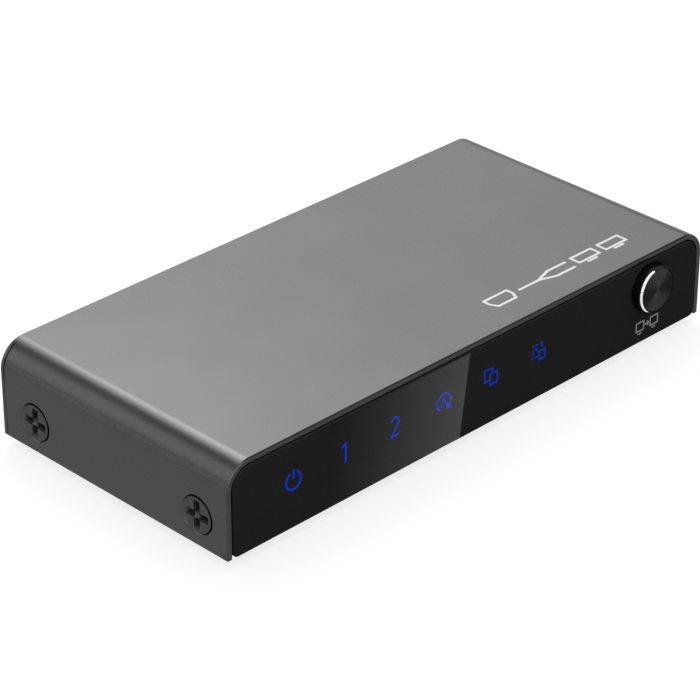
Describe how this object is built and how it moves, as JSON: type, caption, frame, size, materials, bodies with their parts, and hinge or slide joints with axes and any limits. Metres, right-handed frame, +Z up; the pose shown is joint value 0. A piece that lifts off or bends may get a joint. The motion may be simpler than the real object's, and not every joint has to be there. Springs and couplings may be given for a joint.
{
  "type": "hdmi splitter",
  "caption": "Slim desktop video splitter in a bent metal case: glossy black front with lit symbols and a push button, video sockets and a round power jack at the back, on rubber feet.",
  "frame": {"origin": "middle of the part's whole width and length, on the plane that its feet stand on", "axes": "+X along the front to the right, +Y to the back where the sockets are, +Z up"},
  "size_m": [0.1, 0.05, 0.0165],
  "materials": {
    "cover_grey": "satin, bead-blasted and anodised grey",
    "tray_grey": "satin dark grey paint",
    "screw_dark": "blackened steel",
    "foot_rubber": "matte black rubber",
    "panel_black": "polished black acrylic",
    "tape_black": "foam tape",
    "symbol_blue": "lit blue",
    "baffle_black": "moulded",
    "guide_clear": "clear acrylic",
    "lamp_white": "moulded",
    "button_black": "fine satin",
    "ring_chrome": "polished",
    "disc_spun": "spun, dark",
    "switch_black": "moulded",
    "plunger_white": "moulded",
    "board_green": "solder mask on glass epoxy",
    "standoff_brass": "turned",
    "screw_steel": "zinc plated",
    "shell_nickel": "nickel plated",
    "insulator_black": "moulded",
    "contact_gold": "gold plated",
    "jack_black": "moulded",
    "pin_nickel": "nickel plated",
    "leaf_brass": "rolled",
    "chip_black": "moulded epoxy",
    "pad_grey": "soft silicone",
    "sink_black": "anodised",
    "can_metal": "drawn",
    "crystal_metal": "plated",
    "coil_grey": "pressed ferrite",
    "ceramic_tan": "fired",
    "resistor_black": "glazed",
    "print_pale": "screen printed, near white",
    "print_grey": "screen printed, grey"
  },
  "bodies": {
    "housing": {"top_cover": "cover_grey", "base_tray": "tray_grey", "cover_screws": "screw_dark", "rubber_feet": "foot_rubber", "front_panel": "panel_black", "panel_tape": "tape_black", "power_symbol": "symbol_blue", "numeral_one": "symbol_blue", "numeral_two": "symbol_blue", "cycle_symbol": "symbol_blue", "pages_symbol": "symbol_blue", "dashed_pages_symbol": "symbol_blue", "light_baffle": "baffle_black", "light_guide_1": "guide_clear", "light_guide_2": "guide_clear", "light_guide_3": "guide_clear", "light_guide_4": "guide_clear", "light_guide_5": "guide_clear", "light_guide_6": "guide_clear", "lamp_1": "lamp_white", "lamp_2": "lamp_white", "lamp_3": "lamp_white", "lamp_4": "lamp_white", "lamp_5": "lamp_white", "lamp_6": "lamp_white", "switch_body": "switch_black", "circuit_board": "board_green", "board_standoffs": "standoff_brass", "board_screws": "screw_steel", "input_shell": "shell_nickel", "output_1_shell": "shell_nickel", "output_2_shell": "shell_nickel", "input_insulator": "insulator_black", "output_1_insulator": "insulator_black", "output_2_insulator": "insulator_black", "input_contacts": "contact_gold", "output_1_contacts": "contact_gold", "output_2_contacts": "contact_gold", "jack_body": "jack_black", "jack_pin": "pin_nickel", "jack_leaf": "leaf_brass", "splitter_chip": "chip_black", "thermal_pad": "pad_grey", "heat_sink": "sink_black", "line_driver_1": "chip_black", "line_driver_2": "chip_black", "controller_chip": "chip_black", "crystal": "crystal_metal", "regulator_chip": "chip_black", "power_coil": "coil_grey", "can_capacitors": "can_metal", "chip_capacitors": "ceramic_tan", "chip_resistors": "resistor_black"},
    "button": {"button_cap": "button_black", "button_ring": "ring_chrome", "button_disc": "disc_spun"},
    "plunger": {"switch_plunger": "plunger_white"}
  },
  "joints": [
    {"name": "button_press", "type": "slide", "parent": "housing", "child": "button", "axis": [0, 1, 0], "range_m": [0, 0.00035], "stiffness_N_per_m": 5000},
    {"name": "plunger_press", "type": "slide", "parent": "housing", "child": "plunger", "axis": [0, 1, 0], "range_m": [0, 0.00035]}
  ],
  "couplings": [
    {"joint": "plunger_press", "follows": "button_press", "ratio": 1}
  ]
}
